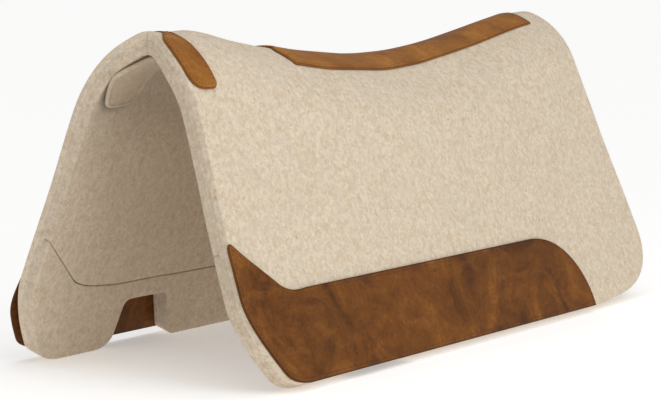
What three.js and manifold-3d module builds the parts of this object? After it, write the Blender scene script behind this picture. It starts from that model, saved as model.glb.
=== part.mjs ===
// Western saddle pad: two contoured halves of laminated wool felt, sewn together along the spine,
// with leather wear pieces. It stands as a tent on the lower edges of its two flaps.
//
// Frame: X across the pad (+X is the horse's left side), Y along the spine from front to rear, Z up.
// The outer surface of a half is a round crown that runs into a flat flap. A point on it is given by
//   station  the distance along the spine from the front end,
//   reach    the distance from the spine down over the outer surface, negative on the left half,
//   depth    the distance below the outer surface, negative above it.
// On the flat flap, "fall" is the distance down the flap from the level of the spine's ends.

import * as THREE from 'three';
import { mergeVertices } from 'three/addons/utils/BufferGeometryUtils.js';
import Module from 'manifold-3d';

const wasm = await Module();
wasm.setup();

// Driving dimensions, in mm and degrees
const SPINE_LENGTH = 790;
const FLAP_FALL = 366;
const FLAP_SPLAY = THREE.MathUtils.degToRad(19.2);   // from the vertical
const FLAP_SPREAD = 51.4;                            // flap plane to spine plane, at the spine's level
const RIDGE_SLOPE = THREE.MathUtils.degToRad(12);    // of each half where it meets the other
const FRONT_LEAN = 0.089;                            // the front edge runs forward as it goes down
const REAR_LEAN = 0.169;                             // the rear edge runs back as it goes down the flap
const FRONT_SETBACK = 12;                            // of the front edge, where it crosses the spine
const SETBACK_REACH = 36;                            // over which it comes forward again
const RIDGE = [[0, 0], [80, 0], [150, -13], [220, -23], [320, -35], [415, -40],
  [520, -35], [620, -22], [710, -8], [790, 0]];      // spine: station and height

const OUTER_FELT = 8;
const MIDDLE_FELT = 6;
const INNER_FELT = 8;
const FELT = OUTER_FELT + MIDDLE_FELT + INNER_FELT;
const LEATHER = 2.6;
const PATCH_FELT = 5;
const THREAD = 0.9;
const GAP = 0.3;                                     // between glued or sewn pieces
const CURVE_GAP = 0.45;                              // the same, where both faces are curved

const SPANS = 16;                                    // facets along the spine
const ARCS = 8;                                      // facets round the crown

// ---- The outer surface ----

const flapSlope = Math.PI / 2 - FLAP_SPLAY;

// Smooth height of the spine at a station
function ridgeHeight(station) {
  const last = RIDGE.length - 1;
  let i = 0;
  while (i < last - 1 && station > RIDGE[i + 1][0]) i += 1;
  const slope = (a, b) => (RIDGE[b][1] - RIDGE[a][1]) / (RIDGE[b][0] - RIDGE[a][0]);
  const tangent = (k) => (k === 0 || k === last ? 0 : slope(k - 1, k + 1));
  const width = RIDGE[i + 1][0] - RIDGE[i][0];
  const t = (station - RIDGE[i][0]) / width;
  return RIDGE[i][1] * (2 * t ** 3 - 3 * t ** 2 + 1) + RIDGE[i + 1][1] * (3 * t ** 2 - 2 * t ** 3)
    + tangent(i) * width * (t ** 3 - 2 * t ** 2 + t) + tangent(i + 1) * width * (t ** 3 - t ** 2);
}

const stations = Array.from({ length: SPANS + 1 }, (_, i) => (SPINE_LENGTH * i) / SPANS);
const ridgeDrops = stations.map((station) => -ridgeHeight(station));

// Cross-section at a station: drop of the ridge and radius of the crown, straight between facet lines
function section(station) {
  const at = THREE.MathUtils.clamp(station / SPINE_LENGTH, 0, 1) * SPANS;
  const i = Math.min(Math.floor(at), SPANS - 1);
  const drop = THREE.MathUtils.lerp(ridgeDrops[i], ridgeDrops[i + 1], at - i);
  const splay = Math.tan(FLAP_SPLAY);
  const turn = Math.sin(flapSlope) - Math.sin(RIDGE_SLOPE);
  const sink = Math.cos(RIDGE_SLOPE) - Math.cos(flapSlope);
  return { drop, radius: (FLAP_SPREAD + splay * drop) / (turn - splay * sink) };
}

// The front edge is set back over the spine; this fades out at the next facet line
function setback(station, reach) {
  return FRONT_SETBACK * Math.exp(-((reach / SETBACK_REACH) ** 2)) * Math.max(1 - station / stations[1], 0);
}

// Point at a slope angle of the crown, or "past" it down the flap
function crownPoint(station, slope, past, depth) {
  const { drop, radius } = section(station);
  const outerFall = drop + radius * (Math.cos(RIDGE_SLOPE) - Math.cos(slope)) + past * Math.sin(slope);
  const x = radius * (Math.sin(slope) - Math.sin(RIDGE_SLOPE)) + past * Math.cos(slope) - depth * Math.sin(slope);
  const along = station / SPINE_LENGTH;
  const lean = REAR_LEAN * past * along - FRONT_LEAN * outerFall * (1 - along);
  const y = station + lean + setback(station, (slope - RIDGE_SLOPE) * radius + past);
  return new THREE.Vector3(x, y, -(outerFall + depth * Math.cos(slope)));
}

// Slope angle at which a layer comes within "aside" of the plane through the spine
const startSlope = (radius, depth, aside = 0) => (
  Math.asin((aside + radius * Math.sin(RIDGE_SLOPE)) / (radius - depth)));

// Point by station, reach and depth
function surfacePoint(station, reach, depth) {
  const { radius } = section(station);
  const arc = radius * (flapSlope - RIDGE_SLOPE);
  const far = Math.abs(reach);
  const start = startSlope(radius, depth);
  const slope = reach === 0 ? start : Math.max(RIDGE_SLOPE + Math.min(far, arc) / radius, start);
  const point = crownPoint(station, slope, Math.max(far - arc, 0), depth);
  if (reach < 0) point.x *= -1;
  return point;
}

// ---- Solids from grids and outlines ----

function solid(points, triangles) {
  const geometry = new THREE.BufferGeometry();
  geometry.setAttribute('position', new THREE.Float32BufferAttribute(points.flatMap((p) => p.toArray()), 3));
  geometry.setIndex(triangles);
  return geometry;
}

// Closed solid between two grids of points, grid[column][row], one above the other
function plate(outer, inner) {
  const columns = outer.length;
  const rows = outer[0].length;
  const points = [...outer.flat(), ...inner.flat()];
  const index = (layer, c, r) => layer * columns * rows + c * rows + r;
  const triangles = [];
  const quad = (a, b, c, d) => triangles.push(a, b, c, a, c, d);
  for (let c = 0; c < columns - 1; c += 1) {
    for (let r = 0; r < rows - 1; r += 1) {
      quad(index(0, c, r), index(0, c, r + 1), index(0, c + 1, r + 1), index(0, c + 1, r));
      quad(index(1, c, r), index(1, c + 1, r), index(1, c + 1, r + 1), index(1, c, r + 1));
    }
    const top = rows - 1;
    quad(index(0, c, 0), index(0, c + 1, 0), index(1, c + 1, 0), index(1, c, 0));
    quad(index(0, c, top), index(1, c, top), index(1, c + 1, top), index(0, c + 1, top));
  }
  for (let r = 0; r < rows - 1; r += 1) {
    const end = columns - 1;
    quad(index(0, 0, r), index(1, 0, r), index(1, 0, r + 1), index(0, 0, r + 1));
    quad(index(0, end, r), index(0, end, r + 1), index(1, end, r + 1), index(1, end, r));
  }
  return solid(points, triangles);
}

// Closed band along a path of [station, reach] points on the crown; a closed path makes a ring
function band(path, halfWidth, low, high, closed) {
  const count = path.length;
  const points = [];
  path.forEach(([station, reach], i) => {
    const before = path[closed ? (i + count - 1) % count : Math.max(i - 1, 0)];
    const after = path[closed ? (i + 1) % count : Math.min(i + 1, count - 1)];
    const side = new THREE.Vector2(before[1] - after[1], after[0] - before[0]).setLength(halfWidth);
    for (const [sign, depth] of [[-1, low], [-1, high], [1, high], [1, low]]) {
      points.push(surfacePoint(station + sign * side.x, reach + sign * side.y, depth));
    }
  });
  const triangles = [];
  const quad = (a, b, c, d) => triangles.push(a, b, c, a, c, d);
  for (let i = 0; i < (closed ? count : count - 1); i += 1) {
    const a = 4 * i;
    const b = 4 * ((i + 1) % count);
    for (let k = 0; k < 4; k += 1) quad(a + k, b + k, b + ((k + 1) % 4), a + ((k + 1) % 4));
  }
  if (!closed) {
    const last = 4 * (count - 1);
    quad(0, 1, 2, 3);
    quad(last, last + 3, last + 2, last + 1);
  }
  return solid(points, triangles);
}

// Flap plane: a shape drawn in (fall, y), raised from one depth to another
function flapPrism(shape, lowDepth, highDepth) {
  const geometry = new THREE.ExtrudeGeometry(shape, { depth: lowDepth - highDepth, bevelEnabled: false });
  const down = new THREE.Vector3(Math.sin(FLAP_SPLAY), 0, -Math.cos(FLAP_SPLAY));
  const out = new THREE.Vector3(Math.cos(FLAP_SPLAY), 0, Math.sin(FLAP_SPLAY));
  const place = new THREE.Matrix4().makeBasis(down, new THREE.Vector3(0, 1, 0), out);
  place.setPosition(new THREE.Vector3(FLAP_SPREAD, 0, 0).addScaledVector(out, -lowDepth));
  return geometry.applyMatrix4(place);
}

// ---- Booleans ----

function toManifold(geometry) {
  const bare = geometry.clone();
  bare.deleteAttribute('normal');
  bare.deleteAttribute('uv');
  const merged = mergeVertices(bare, 1e-4);
  const mesh = new wasm.Mesh({
    numProp: 3,
    vertProperties: new Float32Array(merged.attributes.position.array),
    triVerts: new Uint32Array(merged.index.array),
  });
  return new wasm.Manifold(mesh);
}

function toGeometry(manifold) {
  const mesh = manifold.getMesh();
  const geometry = new THREE.BufferGeometry();
  geometry.setAttribute('position', new THREE.Float32BufferAttribute(mesh.vertProperties, 3));
  geometry.setIndex(Array.from(mesh.triVerts));
  return geometry;
}

function cut(geometry, cutters) {
  return toGeometry(cutters.reduce((body, cutter) => body.subtract(toManifold(cutter)), toManifold(geometry)));
}

function keep(geometry, region) {
  return toGeometry(toManifold(geometry).intersect(toManifold(region)));
}

// The -X half's piece, from the +X half's
function mirrored(geometry) {
  const copy = geometry.clone().applyMatrix4(new THREE.Matrix4().makeScale(-1, 1, 1));
  const index = copy.index ? Array.from(copy.index.array) : [...Array(copy.attributes.position.count).keys()];
  for (let i = 0; i < index.length; i += 3) [index[i + 1], index[i + 2]] = [index[i + 2], index[i + 1]];
  copy.setIndex(index);
  return copy;
}

// ---- Outlines on the flap, as (fall, y) ----

const CORNER_SEGMENTS = 5;
const OUTSIDE = 60;                                  // how far cutters reach past the felt
const CUT_DEPTH = 60;
const frontEdge = (fall) => -FRONT_LEAN * fall * Math.cos(FLAP_SPLAY);
const crownFall = -crownPoint(0, flapSlope, 0, 0).z / Math.cos(FLAP_SPLAY);
const rearEdge = (fall) => SPINE_LENGTH + REAR_LEAN * (fall - crownFall);

// Felt's front lower corner, from the front edge round to the bottom edge, moved inwards by "inset"
const FRONT_CORNER = { edge: 270, bend: 352, bendY: 12.4, bottomY: 50 };

function frontCorner(inset = 0) {
  const { edge, bend, bendY, bottomY } = FRONT_CORNER;
  const slant = 0.7 * inset;
  const path = new THREE.Path();
  path.moveTo(edge, frontEdge(edge) + inset);
  path.quadraticCurveTo(300, frontEdge(300) + inset, bend - slant, bendY + slant);
  path.quadraticCurveTo(FLAP_FALL - 2 - inset, 21 + inset, FLAP_FALL - inset, bottomY);
  return path.getPoints(CORNER_SEGMENTS);
}

// Felt's rear lower corner, from the bottom edge round to the rear edge
const REAR_CORNER = { bottomY: 668, bend: 359, bendY: 750, edge: 285 };

function rearCorner() {
  const { bottomY, bend, bendY, edge } = REAR_CORNER;
  const path = new THREE.Path();
  path.moveTo(FLAP_FALL, bottomY);
  path.quadraticCurveTo(FLAP_FALL - 2, 715, bend, bendY);
  path.bezierCurveTo(352, 800, 325, rearEdge(325), edge, rearEdge(edge));
  return path.getPoints(CORNER_SEGMENTS);
}

function frontCutter() {
  const outside = [[FLAP_FALL + OUTSIDE, FRONT_CORNER.bottomY], [FLAP_FALL + OUTSIDE, -2 * OUTSIDE]];
  outside.push([FRONT_CORNER.edge - OUTSIDE, -2 * OUTSIDE]);
  const points = [...frontCorner(), ...outside.map(([fall, y]) => new THREE.Vector2(fall, y))];
  return flapPrism(new THREE.Shape(points), CUT_DEPTH, -CUT_DEPTH);
}

function rearCutter() {
  const far = SPINE_LENGTH + 2 * OUTSIDE;
  const { bottomY, edge } = REAR_CORNER;
  const outside = [[edge - OUTSIDE, far], [FLAP_FALL + OUTSIDE, far], [FLAP_FALL + OUTSIDE, bottomY]];
  const points = [...rearCorner(), ...outside.map(([fall, y]) => new THREE.Vector2(fall, y))];
  return flapPrism(new THREE.Shape(points), CUT_DEPTH, -CUT_DEPTH);
}

// Relief for the cinch and billets, cut out of the felt's lower edge
const NOTCH = { top: 310, front: 142, rear: 218, footFront: 138, footRear: 240, radius: 12 };

function notchCutter() {
  const { top, front, rear, footFront, footRear, radius } = NOTCH;
  const shape = new THREE.Shape();
  shape.moveTo(FLAP_FALL + OUTSIDE, footFront - OUTSIDE);
  shape.lineTo(FLAP_FALL, footFront - 24);
  shape.quadraticCurveTo(FLAP_FALL - 2, footFront - 4, FLAP_FALL - 16, footFront);
  shape.lineTo(top + radius, front);
  shape.quadraticCurveTo(top, front, top, front + radius);
  shape.lineTo(top, rear);
  shape.lineTo(FLAP_FALL - 8, footRear);
  shape.lineTo(FLAP_FALL, footRear + 10);
  shape.lineTo(FLAP_FALL + OUTSIDE, footRear + 30);
  return flapPrism(new THREE.Shape(shape.getPoints(CORNER_SEGMENTS)), CUT_DEPTH, -CUT_DEPTH);
}

// Lower panel of the inner felt; "shift" moves its upper border away from it
function lowerPanelRegion(shift) {
  const shape = new THREE.Shape();
  const bend = 288 - shift;
  shape.moveTo(FLAP_FALL + OUTSIDE, -OUTSIDE);
  shape.lineTo(FLAP_FALL + OUTSIDE, 648 + shift);
  shape.lineTo(FLAP_FALL, 648 + shift);
  shape.bezierCurveTo(318, 645 + shift, bend, 605 + shift, bend, 545 + shift);
  shape.lineTo(bend, 90 + shift);
  shape.quadraticCurveTo(285 - shift, 55 + shift, 273 - shift, 40 + shift);
  shape.lineTo(184.4 - shift, -OUTSIDE + shift);
  return flapPrism(new THREE.Shape(shape.getPoints(CORNER_SEGMENTS)), CUT_DEPTH, -CUT_DEPTH);
}

// Wear leather: pointed at the front edge, straight along the top, round at the rear
const WEAR = { tip: 214, waist: 272, corner: 84, straight: 548, rear: 660 };
const TIP_SHIFT = new THREE.Vector2(2.02, 0.84);     // of the point, for each mm of inset
const SLANT_SHIFT = new THREE.Vector2(0.76, -0.65);  // of the slanted border behind it

function wearOutline(inset = 0) {
  const { tip, waist, corner, straight, rear } = WEAR;
  const tipFall = tip + TIP_SHIFT.x * inset;
  const tipY = frontEdge(tip) + TIP_SHIFT.y * inset;
  const top = waist + inset;
  const path = new THREE.Path();
  path.moveTo(tipFall + 4, tipY);
  path.quadraticCurveTo(tipFall - 1, tipY, tipFall + 4, tipY + 6);
  path.lineTo(waist - 9 + SLANT_SHIFT.x * inset, corner - 43 + SLANT_SHIFT.y * inset);
  path.quadraticCurveTo(top + 3, corner - 30 - inset / 2, top, corner);
  path.lineTo(top, straight);
  path.bezierCurveTo(top, 610 - inset / 2, 310 + inset / 2, rear - inset, FLAP_FALL - inset, rear - inset);
  return [...path.getPoints(2 * CORNER_SEGMENTS), ...frontCorner(inset).reverse()];
}

const SEAM_INSET = 6;
const THREAD_WIDTH = 1.2;

// ---- Pieces of one half, made on the +X side ----

function feltLayer(top, thickness) {
  const bottomPast = (station) => {
    const tangent = crownPoint(station, flapSlope, 0, 0);
    return FLAP_FALL + tangent.z / Math.cos(FLAP_SPLAY);
  };
  const grid = (depth) => stations.map((station) => {
    const { radius } = section(station);
    const start = startSlope(radius, depth, GAP / 2);
    const column = [];
    for (let i = 0; i <= ARCS; i += 1) {
      column.push(crownPoint(station, THREE.MathUtils.lerp(start, flapSlope, i / ARCS), 0, depth));
    }
    column.push(crownPoint(station, flapSlope, bottomPast(station), depth));
    return column;
  });
  const blank = plate(grid(top), grid(top + thickness));
  return cut(blank, [frontCutter(), rearCutter(), notchCutter()]);
}

const middleTop = OUTER_FELT;
const innerTop = OUTER_FELT + MIDDLE_FELT;
const innerFelt = feltLayer(innerTop + GAP, INNER_FELT - GAP);
const wearTop = GAP + LEATHER;

const halfPieces = {
  outer_felt: feltLayer(0, OUTER_FELT),
  middle_felt: feltLayer(middleTop + GAP, MIDDLE_FELT - GAP),
  inner_felt_upper: cut(innerFelt, [lowerPanelRegion(GAP)]),
  inner_felt_lower: keep(innerFelt, lowerPanelRegion(0)),
  wear_leather: flapPrism(new THREE.Shape(wearOutline()), -GAP, -wearTop),
  wear_leather_thread: wearThread(),
};

function wearThread() {
  const shape = new THREE.Shape(wearOutline(SEAM_INSET - THREAD_WIDTH / 2));
  shape.holes.push(new THREE.Path(wearOutline(SEAM_INSET + THREAD_WIDTH / 2).reverse()));
  return flapPrism(shape, -wearTop - GAP, -wearTop - GAP - THREAD);
}

// ---- Pieces that lie across the spine ----

const even = (from, to, count) => Array.from({ length: count + 1 }, (_, i) => from + ((to - from) * i) / count);

// Strap over the withers, along the front edge
const WITHER = { front: 1, rear: 41, reach: 93, radius: 13 };

const CORNER_END = 0.2;                              // part of the radius left straight at the corner's end

function roundedEnd(reach, end, radius) {
  const into = Math.max(Math.abs(reach) - (end - radius), 0);
  return radius - Math.sqrt(Math.max(radius ** 2 - into ** 2, (CORNER_END * radius) ** 2));
}

function strapReaches(end, radius) {
  const corner = [1, 0.97, 0.87, 0.6, 0].map((k) => end - radius + k * radius);
  const outer = corner.concat(even(end - radius, 0, 6).slice(1));
  return [...outer.map((reach) => -reach), ...outer.slice(0, -1).reverse()];
}

function strap({ front, rear, reach, radius }, breaks, lowDepth, highDepth) {
  const reaches = strapReaches(reach, radius);
  const grid = (depth) => [0, ...breaks, 1].map((k) => reaches.map((at) => {
    const trim = roundedEnd(at, reach, radius);
    const station = THREE.MathUtils.lerp(front + trim, rear - trim, k);
    return surfacePoint(station, at, depth);
  }));
  return plate(grid(highDepth), grid(lowDepth));
}

function witherThread() {
  const { front, rear, reach } = WITHER;
  const side = reach - SEAM_INSET;
  const rows = even(-side + 6, side - 6, 14);
  const ahead = rows.map((at) => [front + SEAM_INSET, at]);
  const behind = rows.map((at) => [rear - SEAM_INSET, at]).reverse();
  const middle = (front + rear) / 2;
  const path = [...ahead, [middle - 8, side], [middle + 8, side], ...behind, [middle + 8, -side], [middle - 8, -side]];
  return band(path, THREAD_WIDTH / 2, -CURVE_GAP - LEATHER - THREAD - GAP, -CURVE_GAP - LEATHER - GAP, true);
}

// Long leather along the spine, notched at its front end, narrower at the rear
const STRIP = { front: 208, notch: 20, rear: 747, wide: 47, narrow: 35 };
const stripBreaks = stations.filter((station) => station > STRIP.front + STRIP.notch && station < STRIP.rear);
const stripWidth = (station) => THREE.MathUtils.lerp(
  STRIP.wide, STRIP.narrow, THREE.MathUtils.smoothstep(station, 270, 630));

function spineLeather() {
  const across = even(-1, 1, 12);
  const front = (v) => STRIP.front + STRIP.notch * Math.max(1 - Math.abs(v) * 3, 0);
  const grid = (depth) => [null, ...stripBreaks, STRIP.rear].map((fixed) => across.map((v) => {
    const station = fixed ?? front(v);
    return surfacePoint(station, v * stripWidth(station), depth);
  }));
  return plate(grid(-CURVE_GAP - LEATHER), grid(-CURVE_GAP));
}

function spineThread() {
  const front = STRIP.front + SEAM_INSET;
  const rear = STRIP.rear - SEAM_INSET;
  const side = (station) => stripWidth(station) - SEAM_INSET;
  const along = [front, ...stripBreaks.filter((station) => station < rear), rear];
  const right = along.map((station) => [station, side(station)]);
  const left = along.map((station) => [station, -side(station)]).reverse();
  const atRear = even(side(rear), -side(rear), 8).slice(1, -1).map((reach) => [rear, reach]);
  const notched = (reach) => front + STRIP.notch * Math.max(1 - (Math.abs(reach) * 3) / STRIP.wide, 0);
  const atFront = even(-side(front), side(front), 12).slice(1, -1).map((reach) => [notched(reach), reach]);
  const path = [...right, ...atRear, ...left, ...atFront].reverse();
  return band(path, THREAD_WIDTH / 2, -CURVE_GAP - LEATHER - THREAD - GAP, -CURVE_GAP - LEATHER - GAP, true);
}

// Felt patch under the withers, across the spine
const PATCH = { front: 6, rear: 68, reach: 106, radius: 16 };
const patchBreak = (stations[1] - PATCH.front) / (PATCH.rear - PATCH.front);

// Zigzag thread that joins the halves, seen along the underside
const SEAM = { front: 74, rear: 784, step: 10, reach: 13 };

function seamThread() {
  const count = Math.round((SEAM.rear - SEAM.front) / SEAM.step);
  const path = even(SEAM.front, SEAM.rear, count).map((station, i) => [station, i % 2 ? SEAM.reach : -SEAM.reach]);
  return band(path, THREAD_WIDTH / 2, FELT + CURVE_GAP, FELT + CURVE_GAP + THREAD, false);
}

// ---- Assembly ----

const FELT_COLOUR = 0xd9ccb6;
const LEATHER_COLOUR = 0x8a5426;
const SPINE_LEATHER_COLOUR = 0xa5672c;
const THREAD_COLOUR = 0x4a2f1a;
const SEAM_COLOUR = 0xcfc0a6;

const pad = new THREE.Group();

function add(name, geometry, color, roughness) {
  const mesh = new THREE.Mesh(geometry, new THREE.MeshStandardMaterial({ color, roughness, metalness: 0 }));
  mesh.name = name;
  pad.add(mesh);
}

const halfColours = { outer: FELT_COLOUR, middle: FELT_COLOUR, inner: FELT_COLOUR, wear: LEATHER_COLOUR };
for (const [name, geometry] of Object.entries(halfPieces)) {
  const color = name.endsWith('thread') ? THREAD_COLOUR : halfColours[name.split('_')[0]];
  const roughness = name.startsWith('wear') ? 0.55 : 0.95;
  add(`${name}_left`, geometry, color, roughness);
  add(`${name}_right`, mirrored(geometry), color, roughness);
}
add('wither_leather', strap(WITHER, [], -CURVE_GAP, -CURVE_GAP - LEATHER), SPINE_LEATHER_COLOUR, 0.55);
add('wither_leather_thread', witherThread(), THREAD_COLOUR, 0.8);
add('spine_leather', spineLeather(), SPINE_LEATHER_COLOUR, 0.55);
add('spine_leather_thread', spineThread(), THREAD_COLOUR, 0.8);
add('wither_patch', strap(PATCH, [patchBreak], FELT + CURVE_GAP + PATCH_FELT, FELT + CURVE_GAP), FELT_COLOUR, 0.95);
add('spine_seam_thread', seamThread(), SEAM_COLOUR, 0.9);

// The origin goes to the middle of the base
const box = new THREE.Box3().setFromObject(pad);
const middle = box.getCenter(new THREE.Vector3());
pad.position.set(-middle.x, -middle.y, -box.min.z);
pad.updateMatrixWorld(true);

export default pad;
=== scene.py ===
import math
from functools import partial

import bmesh
import bpy
import numpy as np
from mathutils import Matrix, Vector
from mathutils.geometry import delaunay_2d_cdt


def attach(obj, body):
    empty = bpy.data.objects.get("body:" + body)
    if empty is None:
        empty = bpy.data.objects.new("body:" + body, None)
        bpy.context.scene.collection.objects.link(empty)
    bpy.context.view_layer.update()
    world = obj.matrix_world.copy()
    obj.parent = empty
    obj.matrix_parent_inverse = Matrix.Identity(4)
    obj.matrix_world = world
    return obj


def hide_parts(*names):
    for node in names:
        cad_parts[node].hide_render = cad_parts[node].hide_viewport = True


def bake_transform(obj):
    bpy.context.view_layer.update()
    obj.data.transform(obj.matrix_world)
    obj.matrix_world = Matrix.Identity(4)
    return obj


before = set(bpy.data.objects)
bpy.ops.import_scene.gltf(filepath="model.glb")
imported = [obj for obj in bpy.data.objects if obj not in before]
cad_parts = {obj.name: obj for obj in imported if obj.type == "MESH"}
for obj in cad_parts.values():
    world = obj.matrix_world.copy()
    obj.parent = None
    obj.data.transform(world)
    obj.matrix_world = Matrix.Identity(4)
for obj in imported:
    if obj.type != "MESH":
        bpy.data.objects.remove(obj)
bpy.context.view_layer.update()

# ---- Driving dimensions ----

SPINE_LENGTH = 790.0
FLAP_FALL = 366.0
FLAP_SPREAD = 51.4
SPLAY = math.radians(19.2)
FLAP_SLOPE = math.pi / 2 - SPLAY
RIDGE_SLOPE = math.radians(12)
FRONT_LEAN = 0.089
REAR_LEAN = 0.169
RIDGE_Y = np.array([0, 35, 80, 150, 220, 320, 415, 520, 620, 710, 790], float)
RIDGE_Z = np.array([2.5, -0.5, 0, -13, -23, -35, -40, -35, -22, -8, 0], float)
FRONT_PINCH = math.radians(10)
FRONT_PINCH_LENGTH = 80.0
FRONT_SETBACK = 12.0
SETBACK_REACH = 36.0
SETBACK_LENGTH = 60.0
FRAME_SHIFT = np.array([0.0, -401.8848, 352.8768])
OUTER_FELT = 8.0
MIDDLE_FELT = 6.0
FELT = 22.0
LEATHER = 2.6
GAP = 0.3
RIDGE_SOFTNESS = 12.0
SEAM_INSET = 4.5
PLY_GAP = 0.03
PANEL_GAP = 0.6
STRAP_FRONT = 1.5
STRAP_REAR = 40.5
STRAP_REACH = 92.0
STRAP_SETBACK = 11.0
STRAP_NOTCH = 12.0
STRAP_NOTCH_REACH = 11.0
STRIP_FRONT = 208.0
STRIP_REAR = 747.0
STRIP_WIDE = 47.0
STRIP_NARROWING = 12.0
STRIP_SLANT = 10.0
STRIP_NOTCH = 20.0
STRIP_NOTCH_REACH = 18.0
SEAM_FRONT = 74.0
SEAM_REAR = 785.0
SEAM_PITCH = 10.0
SEAM_REACH = 13.0
SIDES = {"left": 1, "right": -1}

# ---- The surface that every piece lies on ----

RIDGE_TANGENT = np.zeros(len(RIDGE_Y))
RIDGE_TANGENT[1:-1] = (RIDGE_Z[2:] - RIDGE_Z[:-2]) / (RIDGE_Y[2:] - RIDGE_Y[:-2])


def smooth(t):
    """Eases from 0 to 1 as t does."""
    return t * t * (3 - 2 * t)


def ridge_slope(station):
    """Slope of a half where it meets the other: the front end is folded more sharply."""
    return RIDGE_SLOPE + FRONT_PINCH * np.clip(1 - station / FRONT_PINCH_LENGTH, 0, 1) ** 2


def section(station):
    """Drop of the spine, radius of the crown, its arc, and the fall where it meets the flat side."""
    at = np.clip(station, 0, SPINE_LENGTH)
    i = np.clip(np.searchsorted(RIDGE_Y, at, side="right") - 1, 0, len(RIDGE_Y) - 2)
    width = RIDGE_Y[i + 1] - RIDGE_Y[i]
    t = (at - RIDGE_Y[i]) / width
    height = (
        RIDGE_Z[i] * (2 * t**3 - 3 * t**2 + 1)
        + RIDGE_Z[i + 1] * (3 * t**2 - 2 * t**3)
        + RIDGE_TANGENT[i] * width * (t**3 - 2 * t**2 + t)
        + RIDGE_TANGENT[i + 1] * width * (t**3 - t**2)
    )
    drop = -height
    ridge = ridge_slope(at)
    turn = math.sin(FLAP_SLOPE) - np.sin(ridge)
    sink = np.cos(ridge) - math.cos(FLAP_SLOPE)
    radius = (FLAP_SPREAD + math.tan(SPLAY) * drop) / (turn - math.tan(SPLAY) * sink)
    arc = radius * (FLAP_SLOPE - ridge)
    return drop, radius, arc, (drop + radius * sink) / math.cos(SPLAY)


def lean(station, reach, down, past):
    """How far the line of a station runs along the spine as it goes down a side."""
    along = station / SPINE_LENGTH
    fade = np.clip(1 - station / SETBACK_LENGTH, 0, 1)
    setback = FRONT_SETBACK * np.exp(-((reach / SETBACK_REACH) ** 2)) * fade
    return setback - FRONT_LEAN * down * (1 - along) + REAR_LEAN * past * along


def outer_fall(station, reach):
    """Height lost below the highest line of the spine at a reach, and the reach past the crown."""
    drop, radius, arc, _ = section(station)
    ridge = ridge_slope(station)
    slope = ridge + np.clip(reach, 0, arc) / radius
    past = np.maximum(reach - arc, 0)
    return drop + radius * (np.cos(ridge) - np.cos(slope)) + past * math.sin(FLAP_SLOPE), past


def station_of(fall, y):
    """Station of the points at (fall, y)."""
    station = np.array(y, float)
    for _ in range(8):
        _, _, arc, tangent = section(station)
        reach = np.maximum(fall - tangent + arc, 0)
        down, past = outer_fall(station, reach)
        station = y - lean(station, reach, down, past)
    return station


def swell(side, fall, y):
    """Slow unevenness of the felt, in mm, that fades out at the spine and the lower edge."""
    generator = np.random.default_rng(7 if side > 0 else 11)
    total = np.zeros(np.shape(fall))
    for wave in (260, 210, 170, 140, 110, 90, 70, 55):
        turn = generator.uniform(0, math.tau)
        phase = generator.uniform(0, math.tau)
        along = (fall * math.cos(turn) + y * math.sin(turn)) * math.tau / wave
        total = total + wave / 260 * 0.42 * np.sin(along + phase)
    return total * np.clip((FLAP_FALL - fall) / 70, 0, 1) * np.clip((fall + 60) / 90, 0, 1)


def lay(side, fall, y, depth, station=None):
    """Points of the frame, in mm, for (fall, y) at a depth on one side of the spine."""
    fall, y, depth = np.broadcast_arrays(*(np.asarray(v, float) for v in (fall, y, depth)))
    if station is None:
        station = station_of(fall, y)
    drop, radius, arc, tangent = section(station)
    reach = np.maximum(fall - tangent + arc, 0)
    depth = depth + swell(side, fall, y)
    ridge = ridge_slope(station)
    start = np.arcsin(radius * np.sin(ridge) / (radius - depth))
    soft = np.where(reach < RIDGE_SOFTNESS, (reach**2 + RIDGE_SOFTNESS**2) / (2 * RIDGE_SOFTNESS), reach)
    slope_x = start + (FLAP_SLOPE - start) * np.clip(reach / arc, 0, 1)
    slope_z = start + (FLAP_SLOPE - start) * np.clip(soft / arc, 0, 1)
    past = np.maximum(reach - arc, 0)
    x = radius * (np.sin(slope_x) - np.sin(ridge)) + past * math.cos(FLAP_SLOPE)
    x = x - depth * np.sin(slope_x)
    down = drop + radius * (np.cos(ridge) - np.cos(slope_z)) + past * math.sin(FLAP_SLOPE)
    z = -(down + depth * np.cos(slope_z))
    return np.stack([side * x, y, z], axis=-1)


def lay_across(station, reach, depth):
    """Points for a station and a reach across the spine, below zero on the right side."""
    station, reach, depth = np.broadcast_arrays(*(np.asarray(v, float) for v in (station, reach, depth)))
    _, _, arc, tangent = section(station)
    far = np.abs(reach)
    down, past = outer_fall(station, far)
    y = station + lean(station, far, down, past)
    fall = tangent - arc + far
    left = lay(1, fall, y, depth, station)
    right = lay(-1, fall, y, depth, station)
    return np.where((reach >= 0)[..., None], left, right)


# ---- Outlines ----


def curve(points, steps):
    """Bezier curve of two, three or four points, without its last point."""
    t = np.linspace(0, 1, steps, endpoint=False)[:, None]
    points = [np.array(p, float) for p in points]
    while len(points) > 1:
        points = [a * (1 - t) + b * t for a, b in zip(points, points[1:])]
    return points[0]


def path(start, *pieces):
    """Open path: each piece is (steps, control points..., end)."""
    made, at = [], start
    for steps, *points in pieces:
        made.append(curve([at, *points], steps))
        at = points[-1]
    return np.concatenate([*made, [at]])


def evenly(line, step, closed=True):
    """The line resampled at about the same step, keeping sharp corners."""
    line = np.asarray(line, float)
    ring = np.vstack([line, line[:1]]) if closed else line
    made = []
    for a, b in zip(ring, ring[1:]):
        count = max(1, int(round(np.linalg.norm(b - a) / step)))
        made.append(a + (b - a) * np.arange(count)[:, None] / count)
    made = np.concatenate(made)
    return made if closed else np.vstack([made, ring[-1]])


def front_edge(fall):
    """The y of the front edge at a fall."""
    return -FRONT_LEAN * fall * math.cos(SPLAY)


CROWN_FALL = float(section(0.0)[3])


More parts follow.
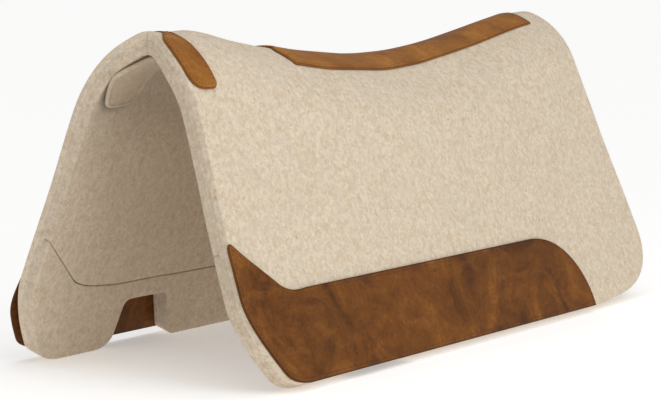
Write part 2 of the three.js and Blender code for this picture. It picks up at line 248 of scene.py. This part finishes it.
def rear_edge(fall):
    """The y of the rear edge at a fall on the flat side."""
    return SPINE_LENGTH + REAR_LEAN * (fall - CROWN_FALL)


def front_corner(inset=0.0):
    """Front edge of the flat side and the lower corner after it."""
    slant = 0.7 * inset
    return path(
        (270, front_edge(270) + inset),
        (16, (300, front_edge(300) + inset), (352 - slant, 12.4 + slant)),
        (12, (364 - inset, 21 + inset), (FLAP_FALL - inset, 50)),
    )


def rear_corner():
    return path(
        (FLAP_FALL, 668),
        (12, (364, 715), (359, 750)),
        (24, (352, 800), (325, rear_edge(325)), (285, rear_edge(285))),
    )


def notch():
    """Strap relief in the lower edge."""
    return path(
        (FLAP_FALL, 114),
        (6, (364, 134), (350, 138)),
        (6, (322, 142)),
        (6, (310, 142), (310, 154)),
        (6, (310, 212)),
        (4, (310, 218), (316, 219.5)),
        (6, (358, 240)),
        (4, (366, 243), (FLAP_FALL, 252)),
    )


def spine_line():
    """The spine, front to rear, as (fall, y)."""
    station = np.linspace(0, SPINE_LENGTH, 180)
    drop, _, arc, tangent = section(station)
    return np.stack([tangent - arc, station + lean(station, 0.0, drop, 0)], axis=-1)


def crown_edge(station):
    """The front or rear edge over the crown, spine to side."""
    _, _, arc, tangent = section(np.array(float(station)))
    reach = np.linspace(0, float(arc), 30)[1:]
    down, past = outer_fall(np.full(len(reach), float(station)), reach)
    return np.stack([tangent - arc + reach, station + lean(station, reach, down, past)], axis=-1)


def felt_outline():
    """Outline of one half, from the spine's front end down the front edge and round."""
    rear = crown_edge(SPINE_LENGTH)[::-1]
    return np.concatenate([crown_edge(0), front_corner(), notch(), rear_corner(), rear, spine_line()[::-1]])


def panel_border(shift):
    """Upper border of the inner felt's lower panel, from the front edge to the lower edge."""
    bend = 288 - shift
    start = 222.0 - shift
    return path(
        (start, front_edge(start)),
        (16, (273 - shift, 40 + shift)),
        (8, (283 - shift, 52 + shift), (bend - 3, 80 + shift), (bend, 118 + shift)),
        (60, (bend, 545 + shift)),
        (24, (bend, 605 + shift), (318, 645 + shift), (FLAP_FALL, 648 + shift)),
    )


def lower_panel_outline():
    return np.concatenate([panel_border(0), notch()[::-1], front_corner()[::-1]])


def upper_panel_outline():
    rear = crown_edge(SPINE_LENGTH)[::-1]
    return np.concatenate([crown_edge(0), panel_border(PANEL_GAP), rear_corner(), rear, spine_line()[::-1]])


def wear_outline(inset=0.0):
    """Wear leather: a blunt point at the front edge, straight along the top, round at the rear."""
    tip_fall = 209 + 2.38 * inset
    tip_y = front_edge(209) - 1 + inset
    blunt = max(15.5 - 2.4 * inset, 3)
    top = 272 + inset
    tip = path(
        (tip_fall + blunt, tip_y - 0.08 * blunt),
        (8, (tip_fall, tip_y), (tip_fall + 0.7 * blunt, tip_y + 0.714 * blunt)),
        (12, (263 + 0.76 * inset, 41 - 0.65 * inset)),
        (10, (top + 3, 54 - inset / 2), (top, 84)),
        (60, (top, 548)),
        (30, (top, 610 - inset / 2), (310 + inset / 2, 660 - inset), (FLAP_FALL - inset, 660 - inset)),
        (60, (FLAP_FALL - inset, 50)),
    )
    return np.concatenate([tip, front_corner(inset)[::-1][1:]])


def wither_front(reach):
    """Station of the strap's front border: at the edge on the left, set back on the right and notched at
    the spine."""
    setback = STRAP_SETBACK * smooth(np.clip((30 - reach) / 22, 0, 1))
    return STRAP_FRONT + setback + STRAP_NOTCH * np.exp(-((reach / STRAP_NOTCH_REACH) ** 2))


def wither_outline(inset=0.0):
    """Strap over the withers, in (station, reach): rounded ends, rounder at the front."""
    rear, end = STRAP_REAR, STRAP_REACH
    ring = []
    for centre_x, centre_y, radius, turn in (
        (wither_front(-end) + 14, -end + 14, 14, math.pi),
        (rear - 8, -end + 8, 8, 1.5 * math.pi),
        (rear - 8, end - 8, 8, 0.0),
        (wither_front(end) + 17, end - 17, 17, 0.5 * math.pi),
    ):
        angle = turn + np.linspace(0, math.pi / 2, 9)
        round_part = np.stack([np.cos(angle), np.sin(angle)], axis=-1) * max(radius - inset, 0.5)
        ring.append(round_part + (centre_x, centre_y))
    straight = np.linspace(0, 1, 42)[1:-1, None]
    long_rear = ring[1][-1] * (1 - straight) + ring[2][0] * straight
    long_front = ring[3][-1] * (1 - straight) + ring[0][0] * straight
    long_front[:, 0] = wither_front(long_front[:, 1]) + inset
    return np.concatenate([ring[0], ring[1], long_rear, ring[2], ring[3], long_front])


def strip_width(station):
    """Half the width of the strip along the spine: it narrows behind the middle."""
    return STRIP_WIDE - STRIP_NARROWING * smooth(np.clip((station - 270) / 360, 0, 1))


def strip_outline(inset=0.0):
    """Strip along the spine, with a shallow notch at its front end."""
    front, rear = STRIP_FRONT + inset, STRIP_REAR - inset
    side = np.linspace(front + STRIP_SLANT, rear, 90)
    right = np.stack([side, strip_width(side) - inset], axis=-1)
    across = np.linspace(strip_width(rear) - inset, -strip_width(rear) + inset, 24)[1:-1]
    back = np.stack([np.full(len(across), rear), across], axis=-1)
    left = np.stack([side[::-1], -strip_width(side[::-1]) + inset], axis=-1)
    width = strip_width(front) - inset
    lips = np.linspace(-width, width, 24)[1:-1]
    dip = STRIP_NOTCH * np.clip(1 - np.abs(lips) / STRIP_NOTCH_REACH, 0, 1)
    ahead = np.stack([front + dip + STRIP_SLANT * np.abs(lips) / width, lips], axis=-1)
    return np.concatenate([right, back, left, ahead])


# ---- Meshes ----


def inward(ring):
    """Unit inward directions at a ring's points, with mitred corners."""
    ahead = np.roll(ring, -1, axis=0) - ring
    ahead /= np.linalg.norm(ahead, axis=1)[:, None] + 1e-12
    behind = np.roll(ahead, 1, axis=0)
    turn = 1 if turn_area(ring) > 0 else -1
    normal = turn * np.stack([-(ahead + behind)[:, 1], (ahead + behind)[:, 0]], axis=-1)
    length = np.linalg.norm(normal, axis=1)[:, None]
    return normal / np.maximum(length, 1e-9) / np.clip(length / 2, 0.6, 1)


def fill(ring, step):
    """Points and triangles inside a ring; the ring's own points come first."""
    low, high = ring.min(0), ring.max(0)
    rows = np.arange(low[1] + step / 2, high[1], step * 0.866)
    grid = []
    for k, y in enumerate(rows):
        x = np.arange(low[0] + step * (0.5 if k % 2 else 1.0), high[0], step)
        grid.append(np.stack([x, np.full(len(x), y)], axis=-1))
    grid = np.concatenate(grid)
    grid = grid[inside(ring, grid) & (gap_to(ring, grid) > 0.45 * step)]
    points = np.concatenate([ring, grid])
    found = delaunay_2d_cdt([Vector(p) for p in points], [], [list(range(len(ring)))], 1, 1e-5)
    vertices = np.array([tuple(v) for v in found[0]], float)
    return vertices, [list(f) for f in found[2]], found[3]


def inside(ring, points):
    """Which points lie inside a ring."""
    x, y = points[:, 0], points[:, 1]
    hit = np.zeros(len(points), bool)
    for (ax, ay), (bx, by) in zip(ring, np.roll(ring, -1, axis=0)):
        if ay != by:
            hit ^= ((ay > y) != (by > y)) & (x < (bx - ax) * (y - ay) / (by - ay) + ax)
    return hit


def gap_to(ring, points):
    """Distance from points to a ring."""
    best = np.full(len(points), 1e9)
    for a, b in zip(ring, np.roll(ring, -1, axis=0)):
        d = b - a
        t = np.clip(((points - a) @ d) / max(d @ d, 1e-12), 0, 1)
        best = np.minimum(best, np.linalg.norm(points - a - t[:, None] * d, axis=1))
    return best


def mark(mesh, name, values):
    """Stores a number for each vertex, for the material to read."""
    attribute = mesh.attributes.new(name, "FLOAT", "POINT")
    attribute.data.foreach_set("value", np.asarray(values, np.float32))


def show(name, data):
    """An object in the scene for a mesh, lamp or camera."""
    made = bpy.data.objects.new(name, data)
    bpy.context.scene.collection.objects.link(made)
    return made


def make(name, points, faces, material, rim=None):
    """A mesh object from points in mm, facing outwards, with an optional "rim" attribute."""
    mesh = bpy.data.meshes.new(name)
    mesh.from_pydata(((np.asarray(points) + FRAME_SHIFT) / 1000).tolist(), [], faces)
    mesh.validate()
    shape = bmesh.new()
    shape.from_mesh(mesh)
    bmesh.ops.recalc_face_normals(shape, faces=shape.faces)
    shape.to_mesh(mesh)
    shape.free()
    mesh.polygons.foreach_set("use_smooth", [True] * len(mesh.polygons))
    if rim is not None:
        mark(mesh, "rim", rim)
    mesh.materials.append(material)
    return show(name, mesh)


def turn_area(ring):
    """Twice the area of a ring, above zero when it runs anticlockwise."""
    return np.sum(ring[:, 0] * np.roll(ring[:, 1], -1) - np.roll(ring[:, 0], -1) * ring[:, 1])


def slab(rings, place, step, back_step):
    """Closed body from rings of the same length, given as [(outline, depth)] from the middle of the upper
    face over the edge to the middle of the lower face. Returns points, faces and distances from the edge."""
    if turn_area(rings[0][0]) < 0:
        rings = [(ring[::-1], depth) for ring, depth in rings]
    count = len(rings[0][0])
    points = [place(ring[:, 0], ring[:, 1], np.full(count, depth)) for ring, depth in rings]
    outline = rings[len(rings) // 2][0]
    edge = [gap_to(outline, ring) for ring, _ in rings]
    faces = []
    for k in range(len(rings) - 1):
        for i in range(count):
            j = (i + 1) % count
            faces.append([k * count + i, k * count + j, (k + 1) * count + j, (k + 1) * count + i])
    total = count * len(rings)
    for first, (ring, depth), spacing, reverse in (
        (0, rings[0], step, True),
        (count * (len(rings) - 1), rings[-1], back_step, False),
    ):
        flat, cells, origin = fill(ring, spacing)
        number, new = {}, []
        for i, source in enumerate(origin):
            own = [s for s in source if s < count]
            if own:
                number[i] = first + own[0]
            else:
                number[i] = total + len(new)
                new.append(i)
        if new:
            extra = flat[new]
            points.append(place(extra[:, 0], extra[:, 1], np.full(len(extra), depth)))
            edge.append(gap_to(outline, extra))
            total += len(new)
        for cell in cells:
            cell = [number[i] for i in cell]
            faces.append(cell[::-1] if reverse else cell)
    return np.concatenate(points), faces, np.concatenate(edge)


def rounded(outline, top, bottom, top_round, bottom_round):
    """Rings of a slab with rounded edges; top_round and bottom_round are radii, one a point."""
    way = inward(outline)
    rings = []
    for depth, radius, sign in ((top, top_round, 1), (bottom, bottom_round, -1)):
        part = []
        for angle in np.radians([0, 22, 45, 68, 90]):
            inset = radius * (1 - math.sin(angle))
            level = depth + sign * float(np.max(radius)) * (1 - math.cos(angle))
            part.append((outline + way * inset[:, None], level))
        rings.append(part)
    return rings[0] + rings[1][::-1]


# ---- Materials ----


class Nodes:
    """A material's node tree, with short calls for the nodes used here."""

    def __init__(self, name):
        self.material = bpy.data.materials.new(name)
        self.material.use_nodes = True
        self.tree = self.material.node_tree
        self.shader = self.tree.nodes["Principled BSDF"]
        self.place = self.add("ShaderNodeTexCoord").outputs["Object"]

    def add(self, kind, **values):
        node = self.tree.nodes.new(kind)
        for key, value in values.items():
            setattr(node, key, value)
        return node

    def link(self, source, target):
        self.tree.links.new(source, target)

    def scaled(self, vector):
        node = self.add("ShaderNodeMapping")
        node.inputs["Scale"].default_value = vector
        self.link(self.place, node.inputs["Vector"])
        return node.outputs["Vector"]

    def noise(self, scale, detail=2.0, roughness=0.5, distortion=0.0, place=None):
        node = self.add("ShaderNodeTexNoise")
        node.inputs["Scale"].default_value = scale
        node.inputs["Detail"].default_value = detail
        node.inputs["Roughness"].default_value = roughness
        node.inputs["Distortion"].default_value = distortion
        self.link(place or self.place, node.inputs["Vector"])
        return node.outputs["Fac"]

    def cells(self, scale):
        node = self.add("ShaderNodeTexVoronoi", feature="F1")
        node.inputs["Scale"].default_value = scale
        self.link(self.place, node.inputs["Vector"])
        return node.outputs["Distance"]

    def spread(self, value, low, high, to_low=0.0, to_high=1.0):
        node = self.add("ShaderNodeMapRange", interpolation_type="SMOOTHSTEP")
        ends = {"From Min": low, "From Max": high, "To Min": to_low, "To Max": to_high}
        for key, number in ends.items():
            node.inputs[key].default_value = number
        self.link(value, node.inputs["Value"])
        return node.outputs["Result"]

    def mix(self, factor, a, b):
        node = self.add("ShaderNodeMix", data_type="RGBA", blend_type="MIX")
        for socket, value in ((node.inputs[0], factor), (node.inputs[6], a), (node.inputs[7], b)):
            if isinstance(value, (int, float)):
                socket.default_value = value
            elif isinstance(value, tuple):
                socket.default_value = (*value, 1.0)
            else:
                self.link(value, socket)
        return node.outputs[2]

    def attribute(self, name):
        return self.add("ShaderNodeAttribute", attribute_name=name).outputs["Fac"]

    def bump(self, height, strength, distance, normal=None):
        node = self.add("ShaderNodeBump")
        node.inputs["Strength"].default_value = strength
        node.inputs["Distance"].default_value = distance
        self.link(height, node.inputs["Height"])
        if normal is not None:
            self.link(normal, node.inputs["Normal"])
        return node.outputs["Normal"]

    def finish(self, colour, roughness, normal, **values):
        self.link(colour, self.shader.inputs["Base Color"])
        if isinstance(roughness, float):
            self.shader.inputs["Roughness"].default_value = roughness
        else:
            self.link(roughness, self.shader.inputs["Roughness"])
        self.link(normal, self.shader.inputs["Normal"])
        for key, value in values.items():
            self.shader.inputs[key.replace("_", " ")].default_value = value
        return self.material


def linear(red, green, blue):
    """Linear colour from display values of 0 to 255."""
    return tuple(
        v / 12.92 if v <= 0.04045 else ((v + 0.055) / 1.055) ** 2.4
        for v in (red / 255, green / 255, blue / 255)
    )


def shaded(colour, amount):
    """A colour at a part of its brightness."""
    return tuple(c * amount for c in colour)


def felt(name, base, fleck, warm, flecks=1.0, painted_shade_amount=0.0):
    """Pressed wool felt: tangled fibres, darker flecks and warm patches, with painted shade where a piece is
    marked for it.
    """
    n = Nodes(name)
    fibre = n.noise(620, 4, 0.65, 1.0)
    tangle = n.noise(195, 4, 0.64, 0.8)
    spots = n.spread(n.noise(230, 3, 0.6, 0.6), 0.57, 0.73, 0.0, 0.62 * flecks)
    warmth = n.spread(n.noise(125, 4, 0.64, 0.7), 0.47, 0.68, 0.0, 0.60 * flecks)
    grey = n.spread(n.noise(80, 4, 0.65, 0.5), 0.44, 0.68, 0.0, 0.26 * flecks)
    broad = n.spread(n.noise(18, 4, 0.6), 0.38, 0.66, 0.0, 0.18)
    pale = tuple(min(0.93, c * 1.12) for c in base)
    colour = n.mix(n.spread(tangle, 0.36, 0.62), shaded(base, 0.91), pale)
    colour = n.mix(grey, colour, shaded(base, 0.80))
    colour = n.mix(warmth, colour, warm)
    colour = n.mix(spots, colour, fleck)
    colour = n.mix(broad, colour, shaded(base, 0.88))
    colour = n.mix(n.spread(fibre, 0.32, 0.55, 0.26, 0.0), colour, shaded(base, 0.62))
    # painted shade: darkens the felt where the marked attribute says, standing in for shadow
    if painted_shade_amount:
        shade = n.spread(n.attribute("painted_shade"), 0.0, 1.0, 0.0, painted_shade_amount)
        colour = n.mix(shade, colour, shaded(base, 0.35))
    hair = n.bump(fibre, 0.55, 0.0006)
    lumps = n.bump(tangle, 0.38, 0.0010, hair)
    pills = n.bump(n.noise(70, 3, 0.55), 0.25, 0.0016, lumps)
    return n.finish(colour, 0.95, pills, Sheen_Weight=0.12, Sheen_Roughness=0.6, Specular_IOR_Level=0.12)


def leather(name, dark, middle, light, burnish, gloss):
    """Oiled leather: clouded colour, fine grain, darker rubbed edges."""
    n = Nodes(name)
    clouds = n.noise(13, 5, 0.58, 1.3)
    streaks = n.noise(42, 4, 0.6, 0.8, n.scaled((1.0, 0.45, 1.0)))
    fine = n.noise(240, 4, 0.6, 0.6)
    grain = n.cells(620)
    colour = n.mix(n.spread(clouds, 0.34, 0.56), dark, middle)
    colour = n.mix(n.spread(clouds, 0.52, 0.74, 0.0, 0.85), colour, light)
    colour = n.mix(n.spread(streaks, 0.50, 0.72, 0.0, 0.42), colour, light)
    colour = n.mix(n.spread(streaks, 0.28, 0.46, 0.45, 0.0), colour, dark)
    colour = n.mix(n.spread(fine, 0.35, 0.62, 0.26, 0.0), colour, burnish)
    rim = n.attribute("rim")
    colour = n.mix(n.spread(rim, 0.25, 0.95, 0.0, 0.75), colour, burnish)
    roughness = n.spread(clouds, 0.3, 0.7, gloss - 0.06, gloss + 0.10)
    pores = n.bump(grain, 0.22, 0.0004)
    creases = n.bump(fine, 0.25, 0.0005, pores)
    hide = n.bump(streaks, 0.18, 0.0012, creases)
    return n.finish(colour, roughness, hide, Specular_IOR_Level=0.12)


def thread(name, colour, dark):
    """Waxed twisted thread."""
    n = Nodes(name)
    twist = n.noise(900, 3, 0.5, 0.5)
    shade = n.mix(n.spread(twist, 0.35, 0.65), dark, colour)
    return n.finish(shade, 0.62, n.bump(twist, 0.5, 0.0003), Specular_IOR_Level=0.3)


OUTER = felt("outer_felt", linear(223, 207, 184), linear(180, 155, 124), linear(209, 180, 141))
MIDDLE = felt("middle_felt", linear(214, 197, 174), linear(176, 153, 127), linear(196, 166, 135), 0.8)
# the last number sets how dark the painted shade around the patch and under the crown gets
INNER = felt("inner_felt", linear(213, 196, 173), linear(170, 149, 124), linear(192, 164, 133), 0.9, 0.78)
PATCH = felt("patch_felt", linear(199, 181, 157), linear(170, 149, 124), linear(190, 162, 131), 0.8)
WEAR = leather(
    "wear_leather", linear(86, 49, 17), linear(120, 72, 28), linear(153, 97, 41), linear(58, 32, 13), 0.52
)
TOP = leather(
    "top_leather", linear(140, 85, 31), linear(164, 106, 43), linear(190, 131, 60), linear(98, 57, 22), 0.50
)
BROWN = thread("brown_thread", linear(92, 56, 28), linear(60, 36, 18))
PALE = thread("pale_thread", linear(214, 200, 176), linear(170, 152, 126))


# ---- Pieces ----


def across_spine(piece):
    """Bakes the piece's placement into its points; the piece stays in the frame, joined to neither half."""
    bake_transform(piece)


def rim_of(edge, reach):
    """1 at a piece's edge, fading over the reach."""
    return np.exp(-np.maximum(edge, 0) / reach)


def felt_radius(outline, free, joined):
    """Edge radius at each point: small where the halves meet at the spine."""
    spine = np.min(np.linalg.norm(outline[:, None, :] - spine_line()[None, :, :], axis=2), axis=1)
    t = np.clip((spine - 2) / 10, 0, 1)
    return joined + (free - joined) * t


def felt_body(name, side, outline, top, bottom, top_round, bottom_round, step, back_step, material):
    """One sheet of felt of a half, from its outline and the depths of its two faces."""
    outline = evenly(outline, 5.0)
    keep = np.linalg.norm(outline - np.roll(outline, 1, axis=0), axis=1) > 0.4
    outline = outline[keep]
    top_radius = felt_radius(outline, top_round, 0.5)
    bottom_radius = felt_radius(outline, bottom_round, 0.4)
    sign = SIDES[side]
    points, faces, edge = slab(
        rounded(outline, top, bottom, top_radius, bottom_radius),
        partial(lay, sign),
        step,
        back_step,
    )
    return make(f"{name}_{side}_cloth", points, faces, material, rim_of(edge, 3.0))


def stitches(name, ring, place, height, material, pitch=4.6, length=3.2, radius=0.36, closed=True):
    """A row of separate stitches along a ring, each dipping into the piece at its ends."""
    ring = np.vstack([ring, ring[:1]]) if closed else np.asarray(ring, float)
    along = np.concatenate([[0], np.cumsum(np.linalg.norm(np.diff(ring, axis=0), axis=1))])
    count = max(1, int(along[-1] // pitch))
    middles = (np.arange(count) + 0.5) * along[-1] / count
    parts = np.array([-0.5, -0.36, 0.0, 0.36, 0.5]) * length
    lifts = np.array([-0.55, 0.05, 0.3, 0.05, -0.55])
    widths = np.array([0.35, 0.9, 1.0, 0.9, 0.35]) * radius
    rounds, sides = len(parts), 6
    points, faces = [], []
    for middle in middles:
        at = np.clip(middle + parts, 0, along[-1])
        x, y = (np.interp(at, along, ring[:, k]) for k in (0, 1))
        core = place(x, y, -height - lifts)
        above = place(x, y, -height - 1 - lifts)
        up = above - core
        up /= np.linalg.norm(up, axis=1)[:, None]
        ahead = core[-1] - core[0]
        ahead /= np.linalg.norm(ahead) + 1e-9
        out = np.cross(up, ahead)
        first = len(points) * rounds * sides
        tube = []
        for k in range(rounds):
            for turn in range(sides):
                angle = turn * math.tau / sides
                tube.append(core[k] + widths[k] * (math.cos(angle) * out[k] + math.sin(angle) * up[k]))
        points.append(tube)
        for k in range(rounds - 1):
            for turn in range(sides):
                a, b = first + k * sides + turn, first + k * sides + (turn + 1) % sides
                faces.append([a, b, b + sides, a + sides])
        last = first + (rounds - 1) * sides
        faces.append([first + turn for turn in reversed(range(sides))])
        faces.append([last + turn for turn in range(sides)])
    return make(name, np.concatenate(points), faces, material)


LEATHER_PROFILE = (
    (9.0, 0.0), (6.0, 0.0), (4.5, 0.0), (3.0, 0.0), (1.4, -0.08), (0.6, -0.30), (0.15, -0.70), (0.0, -1.1),
)


def leather_rings(outline, base):
    """Rings of a leather piece: its flat face, rolled edge and back."""
    top = base + LEATHER
    rings = [(outline(inset), -(top + rise)) for inset, rise in LEATHER_PROFILE]
    rings += [(outline(0.0), -(base + 0.8)), (outline(0.25), -(base + 0.15)), (outline(1.2), -base)]
    return rings


def curled(fall, y, depth):
    """Right wear leather: set back along the front edge, with its lower corner turned out past the felt."""
    corner = smooth(np.clip((fall - 262) / 62, 0, 1)) * np.clip((130 - y) / 105, 0, 1) ** 2
    border = np.clip((60 - y) / 60, 0, 1) * (1 - corner)
    return lay(-1, fall - 3 * corner, y - 5.5 * corner + 5.5 * border, depth - 6 * corner)


def skived(station, reach, depth):
    """Wither strap: pressed flatter over the spine and the right side."""
    pressed = 0.55 * np.clip((36 - reach) / 22, 0, 1)
    return lay_across(station, reach, depth * (1 - pressed))


def lapped(fall, y, depth):
    """Left wear leather: reaches a little past the felt's front edge."""
    past = np.clip((50 - y) / 50, 0, 1) * np.clip((325 - fall) / 60, 0, 1)
    return lay(1, fall, y - 4.5 * past, depth)


def wear_leather(side):
    """The leather on the lower front of a half, with its stitching."""
    place = curled if side == "right" else lapped
    points, faces, edge = slab(leather_rings(wear_outline, GAP), place, 6.0, 14.0)
    body = f"{side}_half"
    piece = make(f"wear_leather_{side}_hide", points, faces, WEAR, rim_of(edge, 1.3))
    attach(piece, body)
    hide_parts(f"wear_leather_{side}")
    line = wear_outline(SEAM_INSET)
    seam = stitches(f"wear_leather_{side}_stitches", line, place, GAP + LEATHER - 0.2, BROWN)
    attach(seam, body)
    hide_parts(f"wear_leather_thread_{side}")


def crossing_leather(name, outline, place, step):
    """A leather piece that lies across the spine, with its stitching."""
    points, faces, edge = slab(leather_rings(outline, GAP + 0.15), place, step, 12.0)
    piece = make(f"{name}_hide", points, faces, TOP, rim_of(edge, 1.1))
    across_spine(piece)
    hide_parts(name)
    seam = stitches(f"{name}_stitches", outline(SEAM_INSET), place, GAP + LEATHER - 0.2, BROWN)
    across_spine(seam)
    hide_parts(f"{name}_thread")


def patch_outline(inset=0.0):
    """Felt patch under the withers: its right tab reaches the front edge, and its borders slant."""
    ring = np.array([
        (9, 0), (9, 60), (16, 98), (24, 104), (48, 104), (58, 100), (66, 90), (68, 60), (68, 0),
        (68, -60), (66, -92), (58, -104), (50, -107), (19, -107), (14, -104), (-7, -50), (-4, -40), (7, -22),
    ], float)
    ring = evenly(ring, 4.0)
    for _ in range(3):
        ring = (np.roll(ring, 1, axis=0) + 2 * ring + np.roll(ring, -1, axis=0)) / 4
    return ring + inward(ring) * inset


def painted_shade(piece):
    """Marks painted shade on the felt: a painted contact shadow along the patch's border and painted shade
    under the crown.
    """
    ring = evenly(patch_outline(), 2.0)
    border = lay_across(ring[:, 0], ring[:, 1], np.full(len(ring), FELT)) + FRAME_SHIFT
    at = np.empty(3 * len(piece.data.vertices))
    piece.data.vertices.foreach_get("co", at)
    at = at.reshape(-1, 3) * 1000
    near = np.array([np.linalg.norm(border - point, axis=1).min() for point in at])
    rim = np.empty(len(at))
    piece.data.attributes["rim"].data.foreach_get("value", rim)
    # painted shade under the crown, darker towards the spine
    crown = 0.58 * np.clip((at[:, 2] - 200) / 120, 0, 1)
    mark(piece.data, "painted_shade", np.maximum(np.clip(1 - near / 12, 0, 1), crown) * (1 - rim))


def felts(side):
    """The felt of a half, outside to inside. Each row gives the outline, the depths of the two faces, the
    radii of their edges, the mesh steps on them, the material and its slot."""
    outer, joint = OUTER_FELT, OUTER_FELT + MIDDLE_FELT
    whole, soft, plain = felt_outline(), 1.5, 0.25
    hidden = 30.0
    rows = {
        "outer_felt": (whole, 0.0, outer - PLY_GAP, soft, plain, 5.0, hidden, OUTER, "outer_felt"),
        "middle_felt": (
            whole, outer + PLY_GAP, joint - PLY_GAP, plain, plain, hidden, hidden, MIDDLE, "middle_felt"),
        "inner_felt_upper": (
            upper_panel_outline(), joint + PLY_GAP, FELT, plain, soft, hidden, 6.0, INNER, "inner_felt"),
        "inner_felt_lower": (
            lower_panel_outline(), joint + PLY_GAP, FELT, plain, soft, hidden, 6.0, INNER, "inner_felt"),
    }
    for name, (*shape, slot) in rows.items():
        piece = felt_body(name, side, *shape)
        if name == "inner_felt_upper":
            # paints shade on the inner felt around the patch and under the crown
            painted_shade(piece)
        if name == "inner_felt_lower":
            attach(piece, f"{side}_half")
        else:
            across_spine(piece)
        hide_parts(f"{name}_{side}")


def wither_patch():
    """The patch of felt, with a soft border lifted off the pad."""
    top = FELT + GAP
    rings = [(patch_outline(inset), depth) for inset, depth in (
        (9.0, top), (4.0, top + 0.6), (1.2, top + 1.5), (0.0, top + 3.0), (0.2, top + 4.4), (1.2, top + 5.5),
        (3.0, top + 5.9), (4.6, top + 5.4), (6.0, top + 4.7), (7.6, top + 4.9), (10.5, top + 5.0))]
    points, faces, edge = slab(rings, lay_across, 8.0, 5.0)
    piece = make("wither_patch_cloth", points, faces, PATCH, rim_of(edge, 3.0))
    across_spine(piece)
    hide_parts("wither_patch")


def spine_seam():
    """Zigzag seam that joins the halves, on the underside."""
    station = np.arange(SEAM_FRONT, SEAM_REAR, SEAM_PITCH)
    reach = np.where(np.arange(len(station)) % 2, SEAM_REACH, -SEAM_REACH)
    line = np.stack([station, reach], axis=-1)
    seam = stitches("spine_seam_stitches", line, lay_across, -FELT - GAP, PALE, 14.2, 13.0, 0.6, closed=False)
    across_spine(seam)
    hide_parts("spine_seam_thread")


for side in SIDES:
    felts(side)
    wear_leather(side)
crossing_leather("wither_leather", wither_outline, skived, 5.0)
crossing_leather("spine_leather", strip_outline, lay_across, 6.0)
wither_patch()
spine_seam()


# ---- Stage, light and camera ----


def floor():
    n = Nodes("floor")
    tone = n.mix(n.noise(3, 2), linear(248, 248, 247), linear(250, 250, 249))
    paper = n.finish(
        tone, 0.9, n.bump(n.noise(400), 0.02, 0.0002), Specular_IOR_Level=0.1, Emission_Strength=0.32,
        Emission_Color=(1.0, 1.0, 1.0, 1.0),
    )
    half = 60.0
    corners = [(x, y, 0) for x, y in ((-half, -half), (half, -half), (half, half), (-half, half))]
    mesh = bpy.data.meshes.new("floor")
    mesh.from_pydata(corners, [], [[0, 1, 2, 3]])
    mesh.materials.append(paper)
    made = show("floor", mesh)


def facing(back):
    """Rotation of a lamp or camera that looks away from the direction given."""
    return Vector(back).to_track_quat("Z", "Y").to_euler()


def sun(name, towards, strength, softness):
    lamp = bpy.data.lights.new(name, "SUN")
    lamp.energy = strength
    lamp.angle = math.radians(softness)
    show(name, lamp).rotation_euler = facing(towards)


def softbox(name, place, size, power):
    """Square lamp that faces the middle of the pad."""
    lamp = bpy.data.lights.new(name, "AREA")
    lamp.shape = "SQUARE"
    lamp.size = size
    lamp.energy = power
    made = show(name, lamp)
    made.location = place
    made.rotation_euler = facing(Vector(place) - Vector((0, 0, 0.2)))


def camera():
    azimuth, elevation = math.radians(33.415), math.radians(6.229)
    data = bpy.data.cameras.new("camera")
    data.lens = 135.27
    data.sensor_width = 36.0
    data.clip_end = 200.0
    made = show("camera", data)
    made.location = (1.52672, -2.36964, 0.45494)
    level = math.cos(elevation)
    made.rotation_euler = facing((math.sin(azimuth) * level, -math.cos(azimuth) * level, math.sin(elevation)))
    bpy.context.scene.camera = made


floor()
sun("top", (0.25, -0.10, 1.0), 0.8, 60)
softbox("key", (1.5, -0.55, 0.95), 1.0, 6.2)
world = bpy.data.worlds.new("studio")
world.use_nodes = True
world.node_tree.nodes["Background"].inputs["Color"].default_value = (1, 1, 1, 1)
world.node_tree.nodes["Background"].inputs["Strength"].default_value = 0.43
bpy.context.scene.world = world
bpy.context.scene.view_settings.view_transform = "Standard"
camera()
